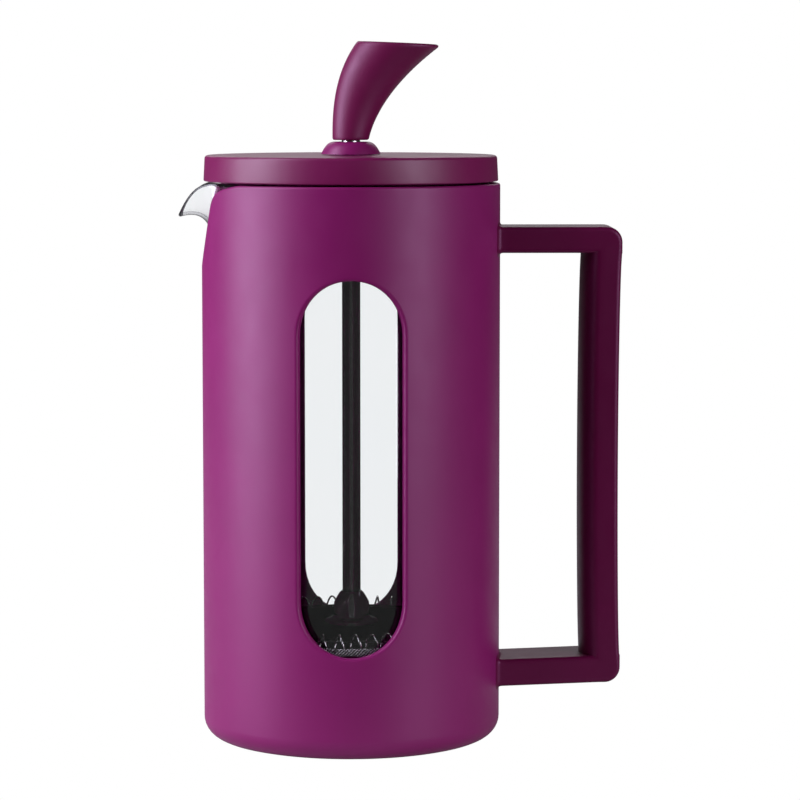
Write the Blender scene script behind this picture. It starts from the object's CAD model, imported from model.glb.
"""The looks of the french press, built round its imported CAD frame."""

from math import acos, atan2, cos, pi, radians, sin, sqrt, tan

import bmesh
import bpy
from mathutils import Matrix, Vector
from mathutils.kdtree import KDTree


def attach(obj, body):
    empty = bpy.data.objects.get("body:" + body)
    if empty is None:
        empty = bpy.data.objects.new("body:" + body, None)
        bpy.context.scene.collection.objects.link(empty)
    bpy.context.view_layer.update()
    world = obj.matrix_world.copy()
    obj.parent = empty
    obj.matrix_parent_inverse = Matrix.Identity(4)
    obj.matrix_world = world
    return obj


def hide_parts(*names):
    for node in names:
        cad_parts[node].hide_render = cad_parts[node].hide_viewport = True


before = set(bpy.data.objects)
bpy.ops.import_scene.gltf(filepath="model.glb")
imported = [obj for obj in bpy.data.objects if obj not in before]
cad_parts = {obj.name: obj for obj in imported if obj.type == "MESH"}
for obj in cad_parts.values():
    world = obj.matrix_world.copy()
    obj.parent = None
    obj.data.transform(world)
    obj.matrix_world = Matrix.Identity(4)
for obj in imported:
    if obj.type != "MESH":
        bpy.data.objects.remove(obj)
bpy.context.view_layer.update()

MM = 0.001
MERGE = 1e-7

# Casing.
CASING_RADIUS = 52 * MM
CASING_INNER = 49 * MM
CASING_TOP = 194.3 * MM
BASE_FILLET = 7 * MM
FLOOR_TOP = 4 * MM
FOOT_INNER = 34 * MM
FOOT_RECESS = 1.3 * MM
RIM_ROUND = 0.8 * MM
RIM_INNER_ROUND = 0.6 * MM
SUPPORT = 0.35 * MM  # from a rounding to the first loop beyond it
WINDOW_RADIUS = 18.4 * MM
WINDOW_BOTTOM = 35.5 * MM
WINDOW_TOP = 163 * MM
WINDOW_ROUND = 1.0 * MM
WINDOW_INNER_ROUND = 0.7 * MM
NOTCH_BOTTOM = 165.8 * MM
NOTCH_SPREAD = 17.5 * MM
NOTCH_FLARE = 7 * MM

# Handle.
HANDLE_HALF = 11.5 * MM
HANDLE_REACH = 94 * MM
HANDLE_TOP = 179.4 * MM
TOP_BAR = 9.1 * MM
HANDLE_BOTTOM = 18.4 * MM
BOTTOM_BAR = 9.6 * MM
HANDLE_RISE = 1.3 * MM
HANDLE_CORNER = 5.4 * MM
HANDLE_ROUND = 1.5 * MM
HANDLE_FILLET = 1.5 * MM
GRIP_INNER = 87 * MM
GRIP_BULGE = 6.6 * MM
GRIP_BOW = 1.1 * MM

# Glass.
GLASS_RADIUS = 48.2 * MM
GLASS_WALL = 1.25 * MM
GLASS_BOTTOM = 6.1 * MM
GLASS_TOP = 194.6 * MM
GLASS_FILLET = 8 * MM
SPOUT_REACH = 11.1 * MM
SPOUT_START = 171 * MM
SPOUT_DROOP = 12 * MM
SPOUT_HALF_ANGLE = 22

# Lid and knob.
LID_BOTTOM = 195 * MM
LID_TOP = 204 * MM
LID_RADIUS = 51.3 * MM
BOSS_TOP = 208.6 * MM
COLLAR_HOLE = 6.1 * MM
COLLAR_END = GLASS_TOP - 2.5 * MM
KNOB_BOTTOM = 209.2 * MM
# Side outlines of the knob: control points of (x, height above KNOB_BOTTOM) in millimetres.
KNOB_LEFT = ((-6.4, 0), (-6.6, 11), (-5.6, 23.5), (2.3, 34.2))
KNOB_RIGHT = ((6.2, 0), (8.2, 9.5), (16.0, 21.5), (31.9, 33.1))
KNOB_SHOULDER = 0.965  # share of the outlines below the rounding to the flat top

# Plunger.
ROD_RADIUS = 3.2 * MM
STACK_BORE = 2.7 * MM  # through every piece on the rod's lower stud
FILTER_HEIGHT = 38.4 * MM
PLATE_HEIGHT = FILTER_HEIGHT + 0.8 * MM
SPRING_RING = 42.4 * MM
SPRING_COIL = 2.9 * MM
SPRING_RISE = 0.9 * MM  # of the coils' middle above FILTER_HEIGHT
SPRING_WIRE = 0.33 * MM
SPRING_TURNS = 48
WEAVE_PITCH = 0.8 * MM

# Stage.
FLOOR_LEVEL = -0.2 * MM  # just below the press, so that their faces don't coincide
EDGE_LOSS = 0.65  # share of the backdrop's white lost in the edge of one sheet of glass
AIM_HEIGHT = 0.13  # of the point that every light faces
CAMERA_PLACE = (-0.0008, -1.1153, 0.22682)
CAMERA_DIP = 5.5586  # degrees below level
CAMERA_TURN = -0.9185  # degrees about Z
CAMERA_LENS = 143.8


# ---------------------------------------------------------------- mesh helpers


class Skin:
    """Points and faces of one piece. Points that coincide are merged at the end."""

    def __init__(self):
        self.points = []
        self.faces = []

    def ring(self, points):
        start = len(self.points)
        self.points += [tuple(p) for p in points]
        return list(range(start, len(self.points)))

    def bridge(self, a, b, closed=True):
        count = len(a)
        for i in range(count if closed else count - 1):
            j = (i + 1) % count
            self.faces.append((a[i], a[j], b[j], b[i]))

    def cap(self, ring):
        self.faces.append(tuple(ring))

    def loft(self, rings, closed=True, caps=False):
        loops = [self.ring(r) for r in rings]
        for a, b in zip(loops, loops[1:]):
            self.bridge(a, b, closed)
        if caps:
            self.cap(loops[0])
            self.cap(loops[-1])
        return loops

    def build(self, name):
        mesh = bpy.data.meshes.new(name)
        mesh.from_pydata(self.points, [], self.faces)
        bm = bmesh.new()
        bm.from_mesh(mesh)
        bmesh.ops.remove_doubles(bm, verts=bm.verts, dist=MERGE)
        bmesh.ops.dissolve_degenerate(bm, edges=bm.edges, dist=MERGE)
        bmesh.ops.recalc_face_normals(bm, faces=bm.faces)
        bm.to_mesh(mesh)
        bm.free()
        return add_object(name, mesh)


def add_object(name, data):
    obj = bpy.data.objects.new(name, data)
    bpy.context.scene.collection.objects.link(obj)
    return obj


def smooth(obj, angle=35):
    obj.data.shade_smooth()
    obj.data.set_sharp_from_angle(angle=radians(angle))
    return obj


def place(obj, body, slot_name, material, *nodes):
    """Gives a piece its material and its place in the frame."""
    obj.data.materials.clear()
    obj.data.materials.append(material)
    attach(obj, body)
    if nodes:
        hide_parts(*nodes)
    return obj


def circle(radius, z, angles):
    return [(radius * cos(a), radius * sin(a), z) for a in angles]


def arc(cx, cy, radius, start, end, steps):
    """Points on an arc between two angles in degrees."""
    angles = [radians(start + (end - start) * i / steps) for i in range(steps + 1)]
    return [(cx + radius * cos(a), cy + radius * sin(a)) for a in angles]


def rounded(corners, closed=True, steps=5):
    """A path through (x, y, radius) corners with each corner rounded to its radius."""
    path = []
    count = len(corners)
    for i, (x, y, radius) in enumerate(corners):
        ends = not closed and i in (0, count - 1)
        if radius == 0 or ends:
            path.append((x, y))
            continue
        corner = Vector((x, y))
        before = (Vector(corners[i - 1][:2]) - corner).normalized()
        after = (Vector(corners[(i + 1) % count][:2]) - corner).normalized()
        half = acos(max(-1, min(1, before.dot(after)))) / 2
        centre = corner + (before + after).normalized() * (radius / sin(half))
        start = corner + before * (radius / tan(half)) - centre
        end = corner + after * (radius / tan(half)) - centre
        a = atan2(start.y, start.x)
        turn = (atan2(end.y, end.x) - a + pi) % (2 * pi) - pi
        for k in range(steps + 1):
            b = a + turn * k / steps
            path.append((centre.x + radius * cos(b), centre.y + radius * sin(b)))
    return path


def turned(name, profile, steps, closed=True):
    """A profile of (radius, height) turned about Z."""
    skin = Skin()
    angles = [2 * pi * i / steps for i in range(steps)]
    rings = [circle(r, z, angles) for r, z in profile]
    if closed:
        rings.append(rings[0])
    skin.loft(rings)
    return smooth(skin.build(name))


def combine(obj, helper, operation):
    """Applies a boolean with a helper object, and removes the helper."""
    modifier = obj.modifiers.new("combine", "BOOLEAN")
    modifier.object = helper
    modifier.operation = operation
    modifier.solver = "EXACT"
    graph = bpy.context.evaluated_depsgraph_get()
    mesh = bpy.data.meshes.new_from_object(obj.evaluated_get(graph))
    obj.modifiers.clear()
    obj.data = mesh
    bpy.data.objects.remove(helper)


def lerp(a, b, t):
    return a + (b - a) * t


def bezier(points, t):
    """The point at t, from 0 to 1, of the curve with these four control points."""
    shares = ((1 - t) ** 3, 3 * t * (1 - t) ** 2, 3 * t * t * (1 - t), t**3)
    return tuple(sum(s * p[k] for s, p in zip(shares, points)) for k in (0, 1))


# ---------------------------------------------------------------- materials


MIDDLE = (0.3, 0.7)  # the stretch of a noise's range that most of its values fall in


def new_material(name):
    material = bpy.data.materials.new(name)
    material.use_nodes = True
    tree = material.node_tree
    shader = tree.nodes["Principled BSDF"]
    return material, tree, shader


def set_inputs(node, **values):
    """Sets the node's sockets by name, with _ for each space."""
    for key, value in values.items():
        node.inputs[key.replace("_", " ")].default_value = value


def add_node(tree, kind, **values):
    node = tree.nodes.new(kind)
    set_inputs(node, **values)
    return node


def object_point(tree):
    return tree.nodes.new("ShaderNodeTexCoord").outputs["Object"]


def noise(tree, point, scale, detail=2.0, roughness=0.5):
    node = add_node(
        tree, "ShaderNodeTexNoise", Scale=scale, Detail=detail, Roughness=roughness
    )
    tree.links.new(point, node.inputs["Vector"])
    return node.outputs["Fac"]


def ramp(tree, value, low, high, at=(0.0, 1.0)):
    """Turns a 0 to 1 value into a colour or a grey between two ends."""
    node = tree.nodes.new("ShaderNodeValToRGB")
    tree.links.new(value, node.inputs["Fac"])
    for stop, position, colour in zip(node.color_ramp.elements, at, (low, high)):
        stop.position = position
        if not isinstance(colour, tuple):
            colour = (colour, colour, colour)
        stop.color = (*colour, 1)
    return node.outputs["Color"]


def vary(tree, shader, socket, value, low, high, at=(0.0, 1.0)):
    """Drives one of the shader's sockets with a ramp of a 0 to 1 value."""
    tree.links.new(ramp(tree, value, low, high, at), shader.inputs[socket])


def bump(tree, shader, height, strength, distance):
    node = add_node(tree, "ShaderNodeBump", Strength=strength, Distance=distance)
    tree.links.new(height, node.inputs["Height"])
    tree.links.new(node.outputs["Normal"], shader.inputs["Normal"])


def math_node(tree, operation, *values):
    """The result of a sum on numbers and other nodes' outputs."""
    node = tree.nodes.new("ShaderNodeMath")
    node.operation = operation
    for socket, value in zip(node.inputs, values):
        if isinstance(value, (int, float)):
            socket.default_value = value
        else:
            tree.links.new(value, socket)
    return node.outputs[0]


def mix_shaders(tree, share, first, second):
    """The first shader where the share is 0, and the second where it is 1."""
    node = tree.nodes.new("ShaderNodeMixShader")
    for source, socket in zip((share, first, second), node.inputs):
        tree.links.new(source, socket)
    return node.outputs[0]


def plastic(name, low, high, rough_low, rough_high, sheen=0.78, gloss=0.58, grain=0.06):
    """Moulded polypropylene: faint colour drift, uneven sheen and a fine spark-eroded grain."""
    material, tree, shader = new_material(name)
    point = object_point(tree)
    vary(tree, shader, "Base Color", noise(tree, point, 40, 3), low, high, MIDDLE)
    vary(tree, shader, "Roughness", noise(tree, point, 130, 4), rough_low, rough_high, MIDDLE)
    bump(tree, shader, noise(tree, point, 4200, 2, 0.6), grain, 0.05 * MM)
    set_inputs(shader, IOR=1.49, Specular_IOR_Level=gloss, Specular_Tint=(1.0, sheen, 1.0, 1))
    return material


def make_glass():
    """Clear glass that darkens where it is seen edge on, and sooner at the beaker's lip."""
    material, tree, shader = new_material("clear_glass")
    point = object_point(tree)
    set_inputs(shader, Transmission_Weight=1.0, IOR=1.47)
    clear = ramp(tree, noise(tree, point, 25, 1), (0.972, 0.988, 1.0), (0.988, 0.996, 1.0))
    facing = add_node(tree, "ShaderNodeLayerWeight", Blend=0.5).outputs["Facing"]
    rim = tree.nodes.new("ShaderNodeAttribute")
    rim.attribute_name = "rim"
    slant = math_node(tree, "MULTIPLY_ADD", rim.outputs["Fac"], 0.6, facing)
    edge = ramp(tree, slant, (1.0, 1.0, 1.0), (0.01, 0.01, 0.012), (0.65, 0.79))
    mix = tree.nodes.new("ShaderNodeMix")
    mix.data_type = "RGBA"
    mix.blend_type = "MULTIPLY"
    mix.inputs["Factor"].default_value = 1.0
    tree.links.new(clear, mix.inputs["A"])
    tree.links.new(edge, mix.inputs["B"])
    tree.links.new(mix.outputs["Result"], shader.inputs["Base Color"])
    vary(tree, shader, "Roughness", noise(tree, point, 60, 2), 0.0, 0.012)
    bump(tree, shader, noise(tree, point, 35, 1), 0.04, 0.2 * MM)
    return material


def steel(name, low, high, rough_low, rough_high, stretch=(1, 1, 1), scale=900, edge=1.0):
    """Stainless steel with fine polishing lines, drawn out along the axes of a low stretch."""
    material, tree, shader = new_material(name)
    mapping = add_node(tree, "ShaderNodeMapping", Scale=stretch)
    tree.links.new(object_point(tree), mapping.inputs["Vector"])
    point = mapping.outputs["Vector"]
    set_inputs(shader, Metallic=1.0, Specular_Tint=(edge, edge, edge, 1))
    vary(tree, shader, "Base Color", noise(tree, point, 60, 3), low, high, MIDDLE)
    lines = noise(tree, point, scale, 3)
    vary(tree, shader, "Roughness", lines, rough_low, rough_high, MIDDLE)
    bump(tree, shader, lines, 0.03, 0.02 * MM)
    return material


def make_weave():
    """Fine woven wire cloth: two crossed sets of wires on the piece's UV map in metres."""
    material, tree, shader = new_material("woven_steel")
    uv = tree.nodes.new("ShaderNodeUVMap")
    uv.uv_map = "weave"
    turned_uv = add_node(tree, "ShaderNodeMapping")
    turned_uv.inputs["Rotation"].default_value = (0, 0, radians(45))
    tree.links.new(uv.outputs["UV"], turned_uv.inputs["Vector"])
    waves = []
    for direction, sunk in (("X", 0.0), ("Y", 0.4)):
        wave = add_node(tree, "ShaderNodeTexWave", Scale=0.314 / WEAVE_PITCH)
        wave.wave_type = "BANDS"
        wave.bands_direction = direction
        tree.links.new(turned_uv.outputs["Vector"], wave.inputs["Vector"])
        waves.append(math_node(tree, "SUBTRACT", wave.outputs["Fac"], sunk))
    top = math_node(tree, "MAXIMUM", *waves)
    vary(tree, shader, "Base Color", top, 0.015, (0.95, 0.94, 0.93), (0.45, 0.7))
    set_inputs(shader, Metallic=0.2)
    vary(tree, shader, "Roughness", noise(tree, object_point(tree), 300, 2), 0.3, 0.45)
    bump(tree, shader, top, 0.8, 0.15 * MM)
    return material


def simple(name, low, high, rough_low, rough_high, scale=200, metallic=0.0):
    """Silicone or brass: mottled colour, uneven sheen and a fine surface."""
    material, tree, shader = new_material(name)
    point = object_point(tree)
    set_inputs(shader, Metallic=metallic)
    vary(tree, shader, "Base Color", noise(tree, point, scale, 3), low, high)
    vary(tree, shader, "Roughness", noise(tree, point, scale * 2, 3), rough_low, rough_high)
    bump(tree, shader, noise(tree, point, scale * 12, 2), 0.1, 0.05 * MM)
    return material


PLUM = plastic("plum_plastic", (0.240, 0.0066, 0.122), (0.258, 0.0074, 0.132), 0.40, 0.46)
LID_PLUM = plastic(
    "lid_plum_plastic", (0.190, 0.0050, 0.080), (0.206, 0.0058, 0.087), 0.37, 0.43, 0.95
)
DEEP_PLUM = plastic(
    "deep_plum_plastic", (0.112, 0.0012, 0.040), (0.126, 0.0016, 0.046), 0.38, 0.44, 0.64, 0.45
)
KNOB_PLUM = plastic(
    "knob_plum_plastic", (0.150, 0.0016, 0.054), (0.166, 0.0022, 0.061), 0.45, 0.51, 0.72, 0.64
)
GLASS = make_glass()
POLISHED = steel("polished_steel", (0.60, 0.59, 0.58), (0.66, 0.65, 0.63), 0.06, 0.12)
DARK_STEEL = steel("dark_steel", 0.10, 0.13, 0.08, 0.14, edge=0.04)
BRUSHED = steel(
    "drawn_steel", (0.58, 0.57, 0.56), (0.66, 0.65, 0.63), 0.10, 0.18, (1, 1, 0.02), 2500
)
WEAVE = make_weave()
BRASS = simple("brass", (0.60, 0.40, 0.15), (0.74, 0.52, 0.22), 0.22, 0.34, 300, 1.0)
GREY = simple("grey_silicone", (0.16, 0.16, 0.165), (0.21, 0.21, 0.215), 0.6, 0.75)
PALE = simple("pale_silicone", (0.62, 0.62, 0.60), (0.72, 0.72, 0.70), 0.4, 0.55)


# ---------------------------------------------------------------- casing


def rim_height(s):
    """Height of the casing's rim at arc length s from the middle of the spout notch."""
    s = abs(s)
    start = CASING_TOP - NOTCH_FLARE
    half_width = sqrt(NOTCH_SPREAD * (start - NOTCH_BOTTOM))
    if s <= half_width:
        return NOTCH_BOTTOM + s * s / NOTCH_SPREAD
    low, high = 0.0, 1.0
    if s >= half_width + NOTCH_FLARE * 2.7:
        return CASING_TOP
    for _ in range(30):
        t = (low + high) / 2
        if half_width + NOTCH_FLARE * (0.8 * t + 1.9 * t**4) < s:
            low = t
        else:
            high = t
    return start + NOTCH_FLARE * low


def columns(near):
    """Degrees of a wall's vertical mesh lines, closer together within near of the spout."""
    result = [0]
    while result[-1] < 358:
        result.append(result[-1] + (1 if 180 - near <= result[-1] < 180 + near else 2))
    return result


def quarter(first=0):
    """How far a rounding of radius 1 has come in and has still to rise, at 22.5 degree steps."""
    angles = [radians(22.5 * i) for i in range(first, 5)]
    return [(1 - cos(a), 1 - sin(a)) for a in angles]


def stadium(u, v, radius, straight):
    """The point of a round-ended slot's outline that faces (u, v)."""
    if abs(v) <= straight:
        return (radius if u > 0 else -radius, v)
    end = straight if v > 0 else -straight
    du, dv = u, v - end
    length = sqrt(du * du + dv * dv)
    return (radius * du / length, end + radius * dv / length)


def make_casing_shell():
    skin = Skin()
    degrees_list = columns(46)
    count = len(degrees_list)
    angles = [radians(d) for d in degrees_list]
    arcs = [CASING_RADIUS * (a - pi) for a in angles]
    base_row = 120 * MM  # rows above it follow the rim down to this one
    patch_low, patch_high = WINDOW_BOTTOM - 5 * MM, WINDOW_TOP + 5 * MM
    patch_side = 24  # degrees

    rim = []
    for s in arcs:
        step = 0.05 * MM
        slope = (rim_height(s + step) - rim_height(s - step)) / (2 * step)
        length = sqrt(1 + slope * slope)
        rim.append((s, rim_height(s), -slope / length, 1 / length))

    def at(radius, s, z):
        a = pi + s / CASING_RADIUS
        return (radius * cos(a), radius * sin(a), z)

    def rim_ring(radius, depth):
        return [at(radius, s - ns * depth, z - nz * depth) for s, z, ns, nz in rim]

    low_rows = [BASE_FILLET, BASE_FILLET + SUPPORT, 14 * MM, 22 * MM]
    low_rows += [lerp(patch_low, base_row, i / 26) for i in range(27)]
    share = (patch_high - base_row) / (CASING_TOP - RIM_ROUND - SUPPORT - base_row)
    high_rows = [share * i / 14 for i in range(1, 15)]
    high_rows += [lerp(share, 1, i / 8) for i in range(1, 9)]

    def wall_rings(radius, round_depth):
        rings = [[at(radius, s, z) for s in arcs] for z in low_rows]
        for t in high_rows:
            row = []
            for (s, z, ns, nz), plain in zip(rim, arcs):
                depth = RIM_ROUND + SUPPORT
                s_here = lerp(plain, s - ns * depth, t)
                z_here = lerp(base_row, z - nz * depth, t)
                row.append(at(radius, s_here, z_here))
            rings.append(row)
        rings.append(rim_ring(radius, round_depth))
        return rings

    outer = wall_rings(CASING_RADIUS, RIM_ROUND)
    inner = wall_rings(CASING_INNER, RIM_INNER_ROUND)
    heights = low_rows + [lerp(base_row, CASING_TOP - RIM_ROUND - SUPPORT, t) for t in high_rows]
    first = min(range(len(heights)), key=lambda i: abs(heights[i] - patch_low))
    last = min(range(len(heights)), key=lambda i: abs(heights[i] - patch_high))
    windows = []
    for centre in (90, 270):
        start = degrees_list.index(centre - patch_side)
        end = degrees_list.index(centre + patch_side)
        windows.append((radians(centre), start, end))

    def add_wall(rings):
        loops = [skin.ring(r) for r in rings]
        for i, (a, b) in enumerate(zip(loops, loops[1:])):
            for j in range(count):
                inside = any(start <= j < end for _, start, end in windows)
                if inside and first <= i < last:
                    continue
                k = (j + 1) % count
                skin.faces.append((a[j], a[k], b[k], b[j]))
        return loops

    outer_loops = add_wall(outer)
    inner_loops = add_wall(inner)

    # Rim, from the outer wall over the top to the inner wall.
    top = []
    for done, left in quarter(1):
        top.append(rim_ring(CASING_RADIUS - RIM_ROUND * done, RIM_ROUND * left))
    for done, left in quarter():
        top.append(rim_ring(CASING_INNER + RIM_INNER_ROUND * left, RIM_INNER_ROUND * done))
    loops = [outer_loops[-1]] + [skin.ring(r) for r in top] + [inner_loops[-1]]
    for a, b in zip(loops, loops[1:]):
        skin.bridge(a, b)

    # Windows.
    middle = (WINDOW_BOTTOM + WINDOW_TOP) / 2
    straight = (WINDOW_TOP - WINDOW_BOTTOM) / 2 - WINDOW_RADIUS
    for centre, start, end in windows:
        border = [(start + i, first) for i in range(end - start)]
        border += [(end, first + i) for i in range(last - first)]
        border += [(end - i, last) for i in range(end - start)]
        border += [(start, last - i) for i in range(last - first)]
        flat = [
            (CASING_RADIUS * (angles[j] - centre), heights[i] - middle) for j, i in border
        ]

        def slot(radius, offset, t=1.0):
            """A ring from the patch's border, at t = 0, to the window's outline, at t = 1."""
            result = []
            for u, v in flat:
                p, q = stadium(u, v, WINDOW_RADIUS + offset, straight)
                a = centre + lerp(u, p, t) / CASING_RADIUS
                result.append((radius * cos(a), radius * sin(a), middle + lerp(v, q, t)))
            return result

        far, near = WINDOW_ROUND + SUPPORT, WINDOW_INNER_ROUND + SUPPORT
        rings = [slot(CASING_RADIUS, far, t) for t in (0, 0.5, 1)]
        for done, left in quarter():
            rings.append(slot(CASING_RADIUS - WINDOW_ROUND * done, WINDOW_ROUND * left))
        for done, left in quarter():
            radius = CASING_INNER + WINDOW_INNER_ROUND * left
            rings.append(slot(radius, WINDOW_INNER_ROUND * done))
        rings += [slot(CASING_INNER, near, t) for t in (1, 0.5, 0)]
        skin.loft(rings)

    # Base: outer fillet, foot ring and recess, and the floor inside.
    outside = arc(CASING_RADIUS - BASE_FILLET, BASE_FILLET, BASE_FILLET, -10, -90, 8)
    edge = [
        (FOOT_INNER + 0.4 * MM, 0),
        (FOOT_INNER + 0.1 * MM, 0.1 * MM),
        (FOOT_INNER - 0.3 * MM, FOOT_RECESS - 0.1 * MM),
        (FOOT_INNER - 0.6 * MM, FOOT_RECESS),
        (20 * MM, FOOT_RECESS),
        (0, FOOT_RECESS),
    ]
    loops = [outer_loops[0]] + [skin.ring(circle(r, z, angles)) for r, z in outside + edge]
    for a, b in zip(loops, loops[1:]):
        skin.bridge(a, b)
    fillet = BASE_FILLET - 3 * MM
    inside = arc(CASING_INNER - fillet, FLOOR_TOP + fillet, fillet, 0, -90, 6)
    inside += [(20 * MM, FLOOR_TOP), (0, FLOOR_TOP)]
    loops = [inner_loops[0]] + [skin.ring(circle(r, z, angles)) for r, z in inside]
    for a, b in zip(loops, loops[1:]):
        skin.bridge(a, b)
    return smooth(skin.build("casing_shell"))


# ---------------------------------------------------------------- handle


def section(thickness, half, radius, spread=0.0):
    """A rounded rectangle of (across, y) points, grown outwards by spread."""
    r = radius + spread
    low, high, side = -spread, thickness + spread, half + spread
    corners = [(low, -side, r), (high, -side, r), (high, side, r), (low, side, r)]
    path = rounded(corners, steps=6)
    result = []
    for (ax, ay), (bx, by) in zip(path, path[1:] + path[:1]):
        result.append((ax, ay))
        length = sqrt((bx - ax) ** 2 + (by - ay) ** 2)
        if length > 4 * MM:
            result += [(lerp(ax, bx, t), lerp(ay, by, t)) for t in (0.06, 0.5, 0.94)]
    return result


def bow(z):
    """How far the grip bends towards the pot at a height."""
    low, high = HANDLE_BOTTOM + BOTTOM_BAR, HANDLE_TOP - TOP_BAR
    t = max(0.0, min(1.0, (z - low) / (high - low)))
    return -GRIP_BOW * sin(pi * t) ** 0.5


def corner_reach(pivot, direction, top):
    """Distance from the pivot along a direction to the handle's rounded outer corner."""
    sign = 1 if top else -1
    edge_z = HANDLE_TOP if top else HANDLE_BOTTOM + HANDLE_RISE
    centre = Vector((HANDLE_REACH - HANDLE_CORNER, edge_z - sign * HANDLE_CORNER))
    low, high = 0.0, 40 * MM
    for _ in range(40):
        t = (low + high) / 2
        p = Vector(pivot) + Vector(direction) * t
        dx, dz = p.x - centre.x, (p.y - centre.y) * sign
        if dx > 0 and dz > 0:
            outside = dx * dx + dz * dz > HANDLE_CORNER**2
        else:
            outside = dx > HANDLE_CORNER or dz > HANDLE_CORNER
        low, high = (low, t) if outside else (t, high)
    return low


def make_handle():
    skin = Skin()
    rings = []

    def flat_ring(inner, outer):
        """A ring across the bar, from a point on its inner side to one on its outer side."""
        dx, dz = outer[0] - inner[0], outer[1] - inner[1]
        thickness = sqrt(dx * dx + dz * dz)
        points = []
        for q, y in section(thickness, HANDLE_HALF, HANDLE_ROUND):
            t = q / thickness
            points.append((inner[0] + dx * t, y, inner[1] + dz * t))
        return points

    def root_rings(low_z, thickness, upward):
        """From inside the casing's wall out through the fillet to the bar."""
        result = []
        stations = [(HANDLE_FILLET, -1 * MM)]
        for i in range(7):
            f = radians(15 * i)
            stations.append((HANDLE_FILLET * (1 - sin(f)), HANDLE_FILLET * (1 - cos(f))))
        for spread, lift in stations:
            ring = []
            for q, y in section(thickness, HANDLE_HALF, HANDLE_ROUND, spread):
                z = low_z + (q if upward else thickness - q)
                radius = CASING_RADIUS + lift
                ring.append((sqrt(radius * radius - y * y), y, z))
            result.append(ring)
        return result

    top_low, low_in = HANDLE_TOP - TOP_BAR, HANDLE_BOTTOM + HANDLE_RISE + BOTTOM_BAR
    inside = 0.5 * MM  # inner radius of the corners
    clear = 0.6 * MM  # from the corners' inside to the first rings of bars and grip
    along_bar = (54.2 * MM, 60 * MM, 70 * MM, 80 * MM, GRIP_INNER - clear)

    def corner_rings(z, start, top):
        """A quarter turn round a pivot in the corner, from a start angle in degrees."""
        result = []
        pivot = (GRIP_INNER - inside, z)
        for i in range(1, 18):
            f = radians(start + 5 * i)
            d = (sin(f), cos(f))
            far = corner_reach(pivot, d, top)
            ends = [(pivot[0] + d[0] * r, pivot[1] + d[1] * r) for r in (inside, far)]
            result.append(flat_ring(*ends))
        return result

    # Top bar, outwards.
    rings += root_rings(top_low, TOP_BAR, True)
    for x in along_bar:
        rings.append(flat_ring((x, top_low), (x, HANDLE_TOP)))
    rings += corner_rings(top_low - inside, 0, True)
    # Grip, downwards.
    for i in range(33):
        z = lerp(top_low - clear, low_in + clear, i / 32)
        rings.append(flat_ring((GRIP_INNER + bow(z), z), (HANDLE_REACH + bow(z), z)))
    rings += corner_rings(low_in + inside, 90, False)
    # Lower bar, back to the casing.
    for x in along_bar[::-1]:
        t = (x - CASING_RADIUS) / (GRIP_INNER - CASING_RADIUS)
        z = HANDLE_BOTTOM + HANDLE_RISE * t
        rings.append(flat_ring((x, z + BOTTOM_BAR), (x, z)))
    rings += root_rings(HANDLE_BOTTOM, BOTTOM_BAR, False)[::-1]
    skin.loft(rings, caps=True)
    handle = skin.build("casing_handle")

    # The grip's rounded inner side.
    grip = Skin()
    proud = HANDLE_HALF + 0.004 * MM  # so that its sides don't coincide with the handle's
    buried = 1.6 * MM
    sections = []
    for i in range(37):
        z = lerp(top_low + 2.5 * MM, low_in - 2.5 * MM, i / 36)
        x = GRIP_INNER + bow(z)
        ring = [
            (x - GRIP_BULGE * cos(radians(a)), proud * sin(radians(a)), z)
            for a in range(-90, 91, 6)
        ]
        ring += [(x + buried, proud, z), (x + buried, -proud, z)]
        sections.append(ring)
    grip.loft(sections, caps=True)
    combine(handle, grip.build("grip_side"), "UNION")
    return smooth(handle, 30)


# ---------------------------------------------------------------- glass beaker


def spout_weight(degrees_round):
    """How much of the spout's reach the glass has: 1 in its middle and 0 beside it."""
    off = abs(degrees_round % 360 - 180)
    if off >= SPOUT_HALF_ANGLE:
        return 0.0
    return cos(pi / 2 * off / SPOUT_HALF_ANGLE) ** 2


def glass_outside(degrees_round, share):
    """A point on the beaker's outside above SPOUT_START, 0 there and 1 at the rim."""
    weight = spout_weight(degrees_round)
    straight = lerp(SPOUT_START, GLASS_TOP - GLASS_WALL / 2, share)
    lip = GLASS_TOP - SPOUT_DROOP
    reach, height = bezier(
        (
            (0, SPOUT_START),
            (0, SPOUT_START + 10.2 * MM),
            (SPOUT_REACH * 0.35, lip + 2.1 * MM),
            (SPOUT_REACH, lip),
        ),
        share,
    )
    radius = GLASS_RADIUS + weight * reach
    z = straight + weight**2.8 * (height - straight)
    a = radians(degrees_round)
    return Vector((radius * cos(a), radius * sin(a), z))


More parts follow.
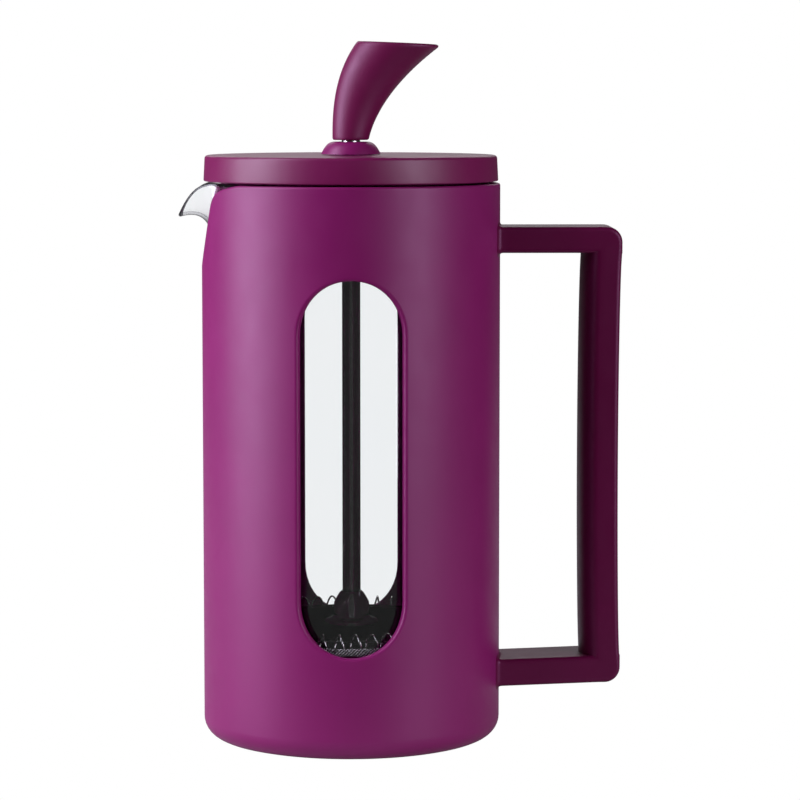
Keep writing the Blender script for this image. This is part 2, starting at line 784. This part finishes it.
def make_beaker():
    """The beaker, with a point attribute, rim, that is 1 on the rounded lip and 0 elsewhere."""
    skin = Skin()
    around = columns(26)
    count = len(around)
    profile = [(6 * MM, GLASS_BOTTOM), (24 * MM, GLASS_BOTTOM)]
    profile += arc(
        GLASS_RADIUS - GLASS_FILLET, GLASS_BOTTOM + GLASS_FILLET, GLASS_FILLET, -90, 0, 10
    )
    profile += [
        (GLASS_RADIUS, lerp(GLASS_BOTTOM + GLASS_FILLET, SPOUT_START, i / 16)) for i in range(1, 16)
    ]
    angles = [radians(d) for d in around]
    grid = [[Vector(p) for p in circle(r, z, angles)] for r, z in profile]
    grid += [[glass_outside(d, i / 24) for d in around] for i in range(25)]
    rows = len(grid)

    def normal(i, j):
        up = grid[min(i + 1, rows - 1)][j] - grid[max(i - 1, 0)][j]
        along = grid[i][(j + 1) % count] - grid[i][j - 1]
        return along.cross(up).normalized()

    normals = [[normal(i, j) for j in range(count)] for i in range(rows)]
    for j in range(count):
        for i in (0, 1):
            normals[i][j] = Vector((0, 0, -1))
    inner = [
        [p - n * GLASS_WALL for p, n in zip(row, row_normals)]
        for row, row_normals in zip(grid, normals)
    ]
    rings = [[Vector((0, 0, GLASS_BOTTOM))] * count] + grid
    lip = [(a + b) / 2 for a, b in zip(grid[-1], inner[-1])]
    for k in range(1, 8):
        f = pi * k / 8
        ring = []
        for j in range(count):
            up = (grid[-1][j] - grid[-2][j]).normalized()
            ring.append(lip[j] + (normals[-1][j] * cos(f) + up * sin(f)) * (GLASS_WALL / 2))
        rings.append(ring)
    rings += inner[::-1]
    rings.append([Vector((0, 0, GLASS_BOTTOM + GLASS_WALL))] * count)
    skin.loft(rings)
    beaker = smooth(skin.build("glass_beaker"), 60)
    on_lip = GLASS_WALL * 0.65  # the lip's own radius is half the wall
    near = KDTree(len(lip))
    for j, p in enumerate(lip):
        near.insert(p, j)
    near.balance()
    rim = beaker.data.attributes.new("rim", "FLOAT", "POINT")
    for vertex, value in zip(beaker.data.vertices, rim.data):
        value.value = 1.0 if near.find(vertex.co)[2] < on_lip else 0.0
    return beaker


# ---------------------------------------------------------------- lid


def make_lid_top():
    wall = 2.2 * MM
    outer, inner = LID_RADIUS, LID_RADIUS - wall
    corners = [
        (COLLAR_HOLE, LID_TOP, 0.2 * MM),
        (20 * MM, LID_TOP, 0),
        (38 * MM, LID_TOP, 0),
        (outer - 0.45 * MM, LID_TOP, 1.2 * MM),
        (outer, LID_BOTTOM, 0.5 * MM),
        (inner, LID_BOTTOM, 0.3 * MM),
        (inner - 0.2 * MM, LID_TOP - wall, 0.8 * MM),
        (COLLAR_HOLE, LID_TOP - wall, 0.2 * MM),
    ]
    return turned("lid_top", rounded(corners), 192)


def make_strainer():
    """The disc under the lid and its skirt inside the glass, slotted on the spout's side."""
    bottom = GLASS_TOP + 0.3 * MM
    top = bottom + 2 * MM
    flange = LID_RADIUS - 2.7 * MM
    skirt = 45.3 * MM
    inner = skirt - 1.8 * MM
    low = bottom - 11 * MM
    corners = [
        (COLLAR_HOLE, top, 0),
        (flange, top, 0.4 * MM),
        (flange, bottom, 0.4 * MM),
        (skirt, bottom, 0.3 * MM),
        (skirt, low, 0.6 * MM),
        (inner, low, 0.6 * MM),
        (inner, bottom, 0.6 * MM),
        (COLLAR_HOLE, bottom, 0),
    ]
    strainer = turned("strainer_skirt", rounded(corners, steps=3), 144)
    slots, apart = 11, radians(8)
    half_width, half_height, corner = 1.1 * MM, 3 * MM, 1.0 * MM
    signs = ((-1, -1), (1, -1), (1, 1), (-1, 1))
    outline = rounded([(half_width * i, half_height * j, corner) for i, j in signs], steps=4)
    middle = bottom - 5.5 * MM
    tools = Skin()
    for i in range(slots):
        a = pi + apart * (i - slots // 2)
        rings = []
        for r in (inner - 2 * MM, skirt + 2 * MM):
            rings.append(
                [
                    (r * cos(a) - u * sin(a), r * sin(a) + u * cos(a), middle + v)
                    for u, v in outline
                ]
            )
        tools.loft(rings, caps=True)
    combine(strainer, tools.build("slot_tools"), "DIFFERENCE")
    return smooth(strainer)


def make_collar():
    """The domed collar and the tube below it."""
    bottom = LID_TOP + 0.3 * MM
    height = BOSS_TOP - bottom
    tube, spread, bore = 5.8 * MM, 4.6 * MM, 4.55 * MM
    mouth, seat = 5.35 * MM, BOSS_TOP - 0.95 * MM
    shares = [k / 16 for k in range(17)]
    dome = [(tube + spread * t**0.84, BOSS_TOP - height * t**2) for t in shares]
    profile = (
        [(5.4 * MM, BOSS_TOP - 0.1 * MM), (5.6 * MM, BOSS_TOP)]
        + dome
        + [(10.3 * MM, bottom), (tube, bottom), (tube, COLLAR_END), (bore, COLLAR_END)]
        + [(bore, seat), (mouth, seat)]
    )
    return turned("lid_collar_dome", profile, 96)


def make_bush():
    """The rod's guide in the collar, with a flange at its top."""
    top = LID_TOP + 4.5 * MM
    flange, under, sleeve, bore = 5.05 * MM, top - 0.8 * MM, 4.4 * MM, 3.4 * MM
    corners = [
        (flange, top, 0.2 * MM),
        (flange, under, 0),
        (sleeve, under, 0),
        (sleeve, COLLAR_END, 0.3 * MM),
        (bore, COLLAR_END, 0.2 * MM),
        (bore, top, 0.3 * MM),
    ]
    return turned("guide_bush", rounded(corners, steps=3), 64)


# ---------------------------------------------------------------- knob


def make_knob():
    """A horn of oval sections between a left and a right outline, with a flat, tilted top."""
    skin = Skin()
    points, levels = 72, 40

    def oval(left, right, depth, left_inset=0.0, right_inset=0.0, lift=0.0):
        """A section from a left to a right point, drawn in by the insets; in millimetres."""
        x0, x1 = left[0] + left_inset, right[0] - right_inset
        z0, z1 = left[1] + lift, right[1] + lift
        slope = (right[1] - left[1]) / (right[0] - left[0])
        z0, z1 = z0 + slope * left_inset, z1 - slope * right_inset
        depth -= (left_inset + right_inset) / 2
        ring = []
        for k in range(points):
            c, s = cos(2 * pi * k / points), sin(2 * pi * k / points)
            x, z = (x0 + x1 + (x1 - x0) * c) / 2, (z0 + z1 + (z1 - z0) * c) / 2
            ring.append((x * MM, depth * s * MM, KNOB_BOTTOM + z * MM))
        return ring

    def half_depth(t):
        return lerp(6.3, 10.5, t**1.5)

    rings = []
    left, right = bezier(KNOB_LEFT, 0), bezier(KNOB_RIGHT, 0)
    bore, bore_top = 4.8 * MM, KNOB_BOTTOM + 16 * MM
    angles = [2 * pi * k / points for k in range(points)]
    rings.append([(0, 0, bore_top)] * points)
    rings.append(circle(bore, bore_top, angles))
    rings.append(circle(bore, KNOB_BOTTOM + 0.2 * MM, angles))
    rings.append(circle(bore * 1.04, KNOB_BOTTOM, angles))
    rings.append(oval(left, right, half_depth(0), 0.5, 0.5))
    rings.append(oval(left, right, half_depth(0), 0.15, 0.15, 0.15))
    for i in range(levels + 1):
        t = lerp(0.02, KNOB_SHOULDER, i / levels)
        rings.append(oval(bezier(KNOB_LEFT, t), bezier(KNOB_RIGHT, t), half_depth(t)))
    left, right = bezier(KNOB_LEFT, KNOB_SHOULDER), bezier(KNOB_RIGHT, KNOB_SHOULDER)
    rise = KNOB_LEFT[3][1] - left[1]
    depth = half_depth(KNOB_SHOULDER)
    for i in range(1, 8):
        f = radians(90 * i / 7)
        round_in, lift = 1 - cos(f), rise * sin(f)
        left_inset = 0.74 * lift + 0.15 * round_in
        right_inset = 0.9 * round_in - 0.6 * lift * (1 - round_in)
        rings.append(oval(left, right, depth, left_inset, right_inset, lift))
    for inset in (1.5, 3.5, 6.0, 8.5):
        rings.append(oval(left, right, depth, inset, inset + 0.3, rise))
    skin.loft(rings)
    skin.cap(list(range(len(skin.points) - points, len(skin.points))))
    return smooth(skin.build("horn_knob"), 50)


# ---------------------------------------------------------------- plunger


def make_rod():
    shoulder_top, stud_top = KNOB_BOTTOM + 0.1 * MM, KNOB_BOTTOM + 14.5 * MM
    shoulder_low, stud_low = FILTER_HEIGHT + 12 * MM, FILTER_HEIGHT - 7.8 * MM
    stud = 2.4 * MM
    corners = [
        (0, stud_top, 0),
        (stud, stud_top, 0.4 * MM),
        (stud, shoulder_top, 0),
        (ROD_RADIUS, shoulder_top, 0.3 * MM),
        (ROD_RADIUS, shoulder_low, 0.3 * MM),
        (stud, shoulder_low, 0),
        (stud, stud_low, 0.4 * MM),
        (0, stud_low, 0),
    ]
    return turned("plunger_shaft", rounded(corners, closed=False), 64, closed=False)


def make_hub():
    """The domed ferrule on the rod above the filter, with a step at its foot."""
    low = PLATE_HEIGHT + 0.45 * MM
    top = FILTER_HEIGHT + 12.6 * MM
    mouth, spread, drop = 3.4 * MM, 2.8 * MM, 4.2 * MM
    bore, foot = ROD_RADIUS + 0.15 * MM, 9.4 * MM
    shares = [k / 12 for k in range(13)]
    dome = [(mouth + spread * t**1.4, top - drop * t**2, 0) for t in shares]
    corners = [(bore, top - 0.1 * MM, 0)] + dome
    corners += [
        (mouth + spread, low + 2.4 * MM, 0.8 * MM),
        (foot, low + 1.0 * MM, 1.2 * MM),
        (foot, low, 0.2 * MM),
        (STACK_BORE, low, 0),
        (STACK_BORE, top - 0.9 * MM, 0),
        (bore, top - 0.9 * MM, 0),
    ]
    return turned("filter_ferrule", rounded(corners), 72)


def hole_tools(name, count, reach, radius, first, low, high, steps=32):
    """Cutters for a circle of round holes, from a first angle in degrees."""
    skin = Skin()
    angles = [2 * pi * k / steps for k in range(steps)]
    for i in range(count):
        a = radians(first) + 2 * pi * i / count
        cx, cy = reach * cos(a), reach * sin(a)
        rings = [
            [(cx + x, cy + y, z) for x, y, z in circle(radius, z, angles)] for z in (low, high)
        ]
        skin.loft(rings, caps=True)
    return skin.build(name)


def make_top_plate():
    """The upper plate, flat with a ring of holes near its rim."""
    z, t = PLATE_HEIGHT + 0.15 * MM, 0.25 * MM  # its middle and half its thickness
    outer = 40.1 * MM
    flat = [STACK_BORE, 9 * MM, 22 * MM, 33 * MM, 39.9 * MM]
    rim = [(outer, z + t * 0.5), (outer, z - t * 0.5)]
    profile = [(r, z + t) for r in flat] + rim + [(r, z - t) for r in flat[::-1]]
    plate = turned("spiral_disc", profile, 144)
    tools = hole_tools("plate_tools", 16, 36.5 * MM, 1.8 * MM, 11.25, z - 3 * MM, z + 3 * MM)
    combine(plate, tools, "DIFFERENCE")
    return smooth(plate)


def make_spring():
    """A wire wound into coils round a ring, each starting on the ring's inner side."""
    skin = Skin()
    around, sides = 24, 8
    count = SPRING_TURNS * around
    spring_height = FILTER_HEIGHT + SPRING_RISE

    def centre(i):
        a = 2 * pi * i / count
        coil = -2 * pi * (i / around + 0.5)
        r = SPRING_RING + SPRING_COIL * cos(coil)
        return Vector((r * cos(a), r * sin(a), spring_height + SPRING_COIL * sin(coil)))

    loops = []
    for i in range(count):
        p = centre(i)
        along = (centre(i + 1) - centre(i - 1)).normalized()
        a = 2 * pi * i / count
        middle = Vector((SPRING_RING * cos(a), SPRING_RING * sin(a), spring_height))
        out = (p - middle).normalized()
        out = (out - along * out.dot(along)).normalized()
        side = along.cross(out)
        loops.append(
            skin.ring(
                p + (out * cos(2 * pi * k / sides) + side * sin(2 * pi * k / sides)) * SPRING_WIRE
                for k in range(sides)
            )
        )
    for i in range(count):
        skin.bridge(loops[i], loops[(i + 1) % count])
    return smooth(skin.build("rim_spring"), 80)


def make_screen():
    """The woven screen's disc with its hemmed rim turned up, and a UV map in metres."""
    outer, top = 45.9 * MM, FILTER_HEIGHT - 0.3 * MM
    low = FILTER_HEIGHT - 3.15 * MM
    thick = 0.4 * MM
    corners = [
        (STACK_BORE, low, 0),
        (20 * MM, low, 0),
        (outer, low, 1.0 * MM),
        (outer, top - 0.5 * MM, 0),
        (outer, top, 0.2 * MM),
        (outer - thick * 1.2, top, 0.2 * MM),
        (outer - thick * 1.2, low + thick + 0.3 * MM, 0.5 * MM),
        (20 * MM, low + thick, 0),
        (STACK_BORE, low + thick, 0),
    ]
    screen = turned("woven_screen", rounded(corners), 192)
    mesh = screen.data
    layer = mesh.uv_layers.new(name="weave")
    for polygon in mesh.polygons:
        steep = abs(polygon.normal.z) < 0.7
        middle = atan2(polygon.center.y, polygon.center.x)
        for index in polygon.loop_indices:
            co = mesh.vertices[mesh.loops[index].vertex_index].co
            if steep:
                a = atan2(co.y, co.x)
                a = middle + (a - middle + pi) % (2 * pi) - pi
                layer.data[index].uv = (a * outer, co.z)
            else:
                layer.data[index].uv = (co.x, co.y)
    return screen


def make_cross():
    """The lower plate, with round cut-outs between its arms."""
    high = FILTER_HEIGHT - 3.45 * MM
    low = high - 0.8 * MM
    outer = 36 * MM
    corners = [
        (STACK_BORE, high, 0),
        (outer, high, 0.3 * MM),
        (outer, low, 0.3 * MM),
        (outer - 1.5 * MM, low, 0.2 * MM),
        (STACK_BORE, low, 0),
    ]
    plate = turned("cross_disc", rounded(corners, steps=3), 144)
    tools = hole_tools("cross_tools", 8, 25 * MM, 6.5 * MM, 0, low - MM, high + MM, 48)
    combine(plate, tools, "DIFFERENCE")
    return smooth(plate)


def make_nut():
    """A hexagonal nut with turned chamfers."""
    high = FILTER_HEIGHT - 4.55 * MM
    low = high - 3.6 * MM
    bore, outer, flat = 2.8 * MM, 5 * MM, 4.33 * MM
    corners = [
        (bore, high, 0),
        (outer, high, 0),
        (outer, low + 0.6 * MM, 0),
        (4.3 * MM, low, 0),
        (3.2 * MM, low, 0),
        (bore, low + 0.4 * MM, 0),
    ]
    nut = turned("hex_nut", rounded(corners), 96)
    # The tool is a ring round the nut with a hexagonal hole.
    angles = [2 * pi * k / 96 for k in range(96)]
    hexagon = []
    for a in angles:
        sector = (a + pi / 6) % (pi / 3) - pi / 6
        hexagon += circle(flat / cos(sector), 0, [a])
    under, over = low - MM, high + MM
    rings = [circle(12 * MM, z, angles) for z in (under, over)]
    rings += [[(x, y, z) for x, y, _ in hexagon] for z in (over, under)]
    tool = Skin()
    tool.loft(rings + rings[:1])
    combine(nut, tool.build("nut_tool"), "DIFFERENCE")
    return smooth(nut, 25)


# ---------------------------------------------------------------- the press

place(make_casing_shell(), "casing", "plum_plastic", PLUM, "casing")
place(make_handle(), "casing", "plum_plastic", DEEP_PLUM)
place(make_beaker(), "beaker", "clear_glass", GLASS, "beaker")
place(make_lid_top(), "lid", "plum_plastic", LID_PLUM, "lid_cap")
place(make_strainer(), "lid", "plum_plastic", PLUM, "lid_strainer")
place(make_collar(), "lid_collar", "plum_plastic", PLUM, "lid_boss")
place(make_bush(), "rod_bush", "pale_silicone", PALE, "rod_bush")
place(make_knob(), "plunger", "plum_plastic", KNOB_PLUM, "knob")
place(make_rod(), "plunger", "polished_steel", BRUSHED, "plunger_rod")
place(make_hub(), "plunger", "polished_steel", POLISHED, "filter_hub")
place(make_top_plate(), "plunger", "polished_steel", DARK_STEEL, "spiral_plate")
place(make_spring(), "plunger", "polished_steel", POLISHED, "coil_spring")
place(make_screen(), "plunger", "polished_steel", WEAVE, "mesh_screen")
place(make_cross(), "plunger", "polished_steel", POLISHED, "cross_plate")
place(make_nut(), "plunger", "polished_steel", POLISHED, "end_nut")

for node, material in (
    ("base_pad", GREY),
    ("beaker_pad", PALE),
    ("boss_clip", POLISHED),
    ("knob_insert", BRASS),
):
    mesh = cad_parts[node].data
    mesh.materials.clear()
    mesh.materials.append(material)


# ---------------------------------------------------------------- stage


def make_floor():
    """A pale floor that ends just in front of the press and is see-through from below."""
    side, front, back = 0.8, -0.15, 4.0
    mesh = bpy.data.meshes.new("floor")
    corners = ((-side, front), (side, front), (side, back), (-side, back))
    mesh.from_pydata([(x, y, FLOOR_LEVEL) for x, y in corners], [], [(0, 1, 2, 3)])
    material, tree, shader = new_material("pale_floor")
    set_inputs(
        shader,
        Base_Color=(0.4, 0.4, 0.4, 1),
        Roughness=0.9,
        Specular_IOR_Level=0.0,
        Emission_Color=(1, 1, 1, 1),
        Emission_Strength=0.13,
    )
    white = add_node(tree, "ShaderNodeEmission", Strength=1.0).outputs[0]
    above = mix_shaders(tree, straight_view(tree), shader.outputs[0], white)
    clear = tree.nodes.new("ShaderNodeBsdfTransparent").outputs[0]
    below = tree.nodes.new("ShaderNodeNewGeometry").outputs["Backfacing"]
    surface = mix_shaders(tree, below, above, clear)
    tree.links.new(surface, tree.nodes["Material Output"].inputs["Surface"])
    mesh.materials.append(material)
    floor = add_object("floor", mesh)


def straight_view(tree):
    """How much of the white backdrop a ray sees.

    All of it straight from the camera or through glass, part of it after it has run inside the
    edge of one sheet of glass, and none of it after any other bounce.
    """
    path = tree.nodes.new("ShaderNodeLightPath")
    bounced = math_node(tree, "GREATER_THAN", path.outputs["Glossy Depth"], 0.5)
    deep = math_node(tree, "GREATER_THAN", path.outputs["Transmission Depth"], 2.5)
    loss = math_node(tree, "MULTIPLY_ADD", deep, 1 - EDGE_LOSS, EDGE_LOSS)
    lost = math_node(tree, "MULTIPLY", bounced, loss)
    clear = math_node(tree, "SUBTRACT", 1.0, lost)
    direct = math_node(tree, "LESS_THAN", path.outputs["Diffuse Depth"], 0.5)
    clear = math_node(tree, "MULTIPLY", clear, direct)
    through = math_node(tree, "MULTIPLY", path.outputs["Is Transmission Ray"], clear)
    return math_node(tree, "MAXIMUM", path.outputs["Is Camera Ray"], through)


def softbox(name, azimuth, distance, height, size, power, colour):
    """A rectangular light at an azimuth in degrees, 0 in front and positive to the right."""
    light = bpy.data.lights.new(name, "AREA")
    light.shape = "RECTANGLE"
    light.size, light.size_y = size
    light.energy = power
    light.color = colour
    obj = add_object(name, light)
    a = radians(azimuth)
    position = Vector((distance * sin(a), -distance * cos(a), height))
    obj.location = position
    aim = Vector((0, 0, AIM_HEIGHT)) - position
    obj.rotation_euler = aim.to_track_quat("-Z", "Y").to_euler()
    obj.visible_camera = False


def make_world():
    """White to the camera, and for light a sweep that is bright behind and dim in front."""
    world = bpy.data.worlds.new("studio")
    world.use_nodes = True
    bpy.context.scene.world = world
    tree = world.node_tree
    tree.nodes.clear()
    output = tree.nodes.new("ShaderNodeOutputWorld")
    shown = add_node(tree, "ShaderNodeBackground", Color=(1, 1, 1, 1), Strength=1.0)
    lit = add_node(tree, "ShaderNodeBackground", Strength=1.0)
    split = tree.nodes.new("ShaderNodeSeparateXYZ")
    tree.links.new(tree.nodes.new("ShaderNodeTexCoord").outputs["Generated"], split.inputs[0])
    half = math_node(tree, "MULTIPLY", split.outputs["Y"], 0.5)
    share = math_node(tree, "ADD", half, 0.5)
    tree.links.new(ramp(tree, share, 0.02, 0.05, (0.4, 0.9)), lit.inputs["Color"])
    surface = mix_shaders(tree, straight_view(tree), lit.outputs[0], shown.outputs[0])
    tree.links.new(surface, output.inputs["Surface"])


def make_lights():
    """Cool soft lights from the left, weaker rosy ones from the right and one from behind."""
    cool, rose, white = (1.0, 0.97, 1.16), (1.0, 0.92, 1.08), (1, 1, 1)
    for azimuth, power in ((-62, 1.7), (-76, 3.9), (-90, 3.2)):
        softbox(f"key_{-azimuth}", azimuth, 0.95, 0.32, (0.36, 0.7), power, cool)
    softbox("key_high", -80, 0.8, 0.95, (0.5, 0.5), 5.3, cool)
    for azimuth, power in ((44, 1.7), (56, 2.1), (70, 0.3)):
        softbox(f"side_{azimuth}", azimuth, 0.95, 0.32, (0.25, 0.7), power, rose)
    softbox("front_fill", 32, 1.25, 0.55, (0.4, 0.5), 0.6, rose)
    softbox("back_soft", 180, 1.2, 0.8, (1.2, 0.6), 3.5, white)


def make_camera():
    camera = bpy.data.cameras.new("photo_camera")
    camera.sensor_width = 36
    camera.lens = CAMERA_LENS
    camera.clip_start = 0.01
    obj = add_object("photo_camera", camera)
    obj.location = CAMERA_PLACE
    obj.rotation_euler = (radians(90 - CAMERA_DIP), 0, radians(CAMERA_TURN))
    bpy.context.scene.camera = obj


make_floor()
make_world()
make_lights()
make_camera()
bpy.context.scene.view_settings.view_transform = "Standard"
